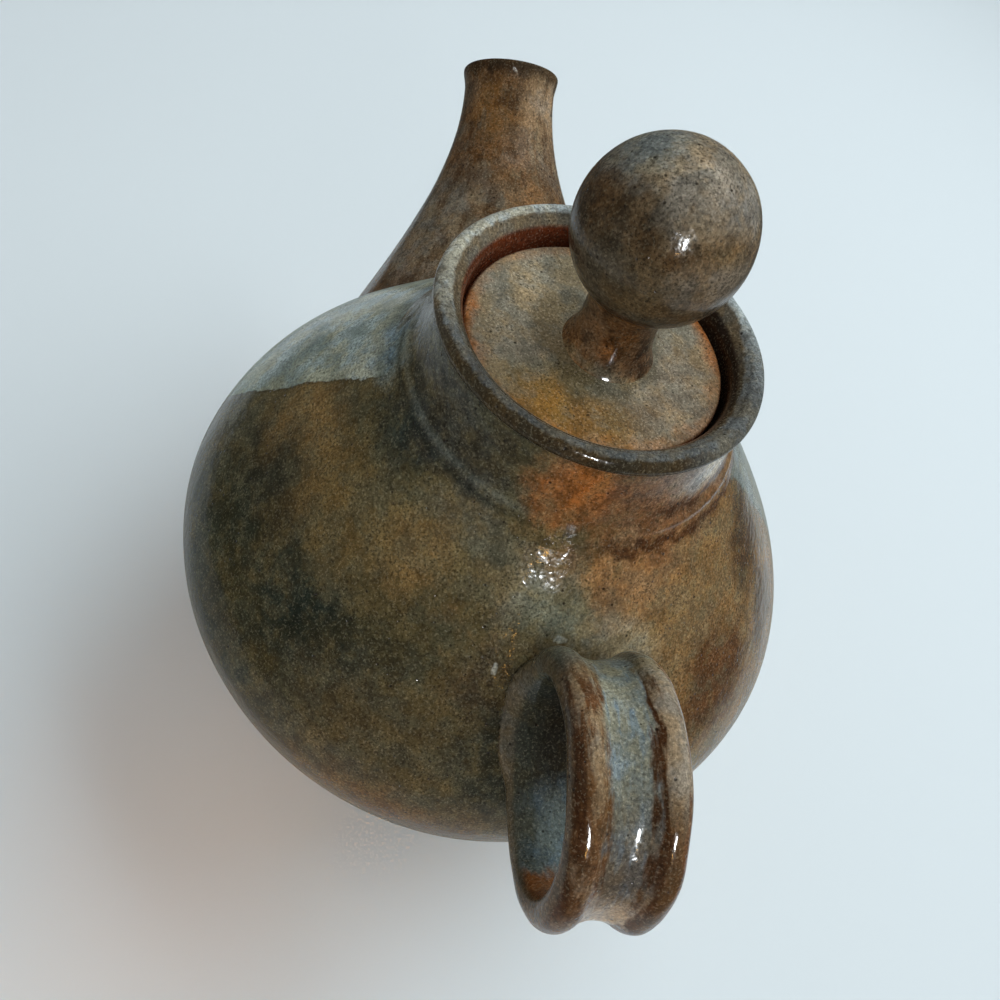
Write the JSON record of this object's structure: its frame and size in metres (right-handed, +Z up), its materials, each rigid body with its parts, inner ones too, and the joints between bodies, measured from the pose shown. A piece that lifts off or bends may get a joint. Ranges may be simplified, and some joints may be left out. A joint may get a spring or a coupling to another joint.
{
  "type": "pottery teapot",
  "caption": "Hand-thrown stoneware teapot with a drop-in lid, a ball knob, a cone spout and a beaded ring handle at the back.",
  "frame": {"origin": "centre of the flat base, on the axis that the pot was thrown about", "axes": "+Z up along the thrown axis, +X from that axis towards the spout, -X towards the ring handle"},
  "size_m": [0.1991, 0.14, 0.1547],
  "materials": {
    "body_glaze": "gloss",
    "collar_glaze": "gloss",
    "spout_glaze": "gloss",
    "strainer_clay": "matt",
    "handle_glaze": "gloss",
    "lid_glaze": "satin",
    "stem_glaze": "gloss",
    "knob_glaze": "gloss"
  },
  "bodies": {
    "pot": {"body": "body_glaze", "collar": "collar_glaze", "spout": "spout_glaze", "strainer": "strainer_clay", "handle_ring": "handle_glaze"},
    "lid": {"lid": "lid_glaze", "knob_stem": "stem_glaze", "knob_ball": "knob_glaze"}
  },
  "joints": [
    {"name": "lid_lift", "type": "slide", "parent": "pot", "child": "lid", "axis": [0, 0, 1], "range_m": [0, 0.05]}
  ]
}
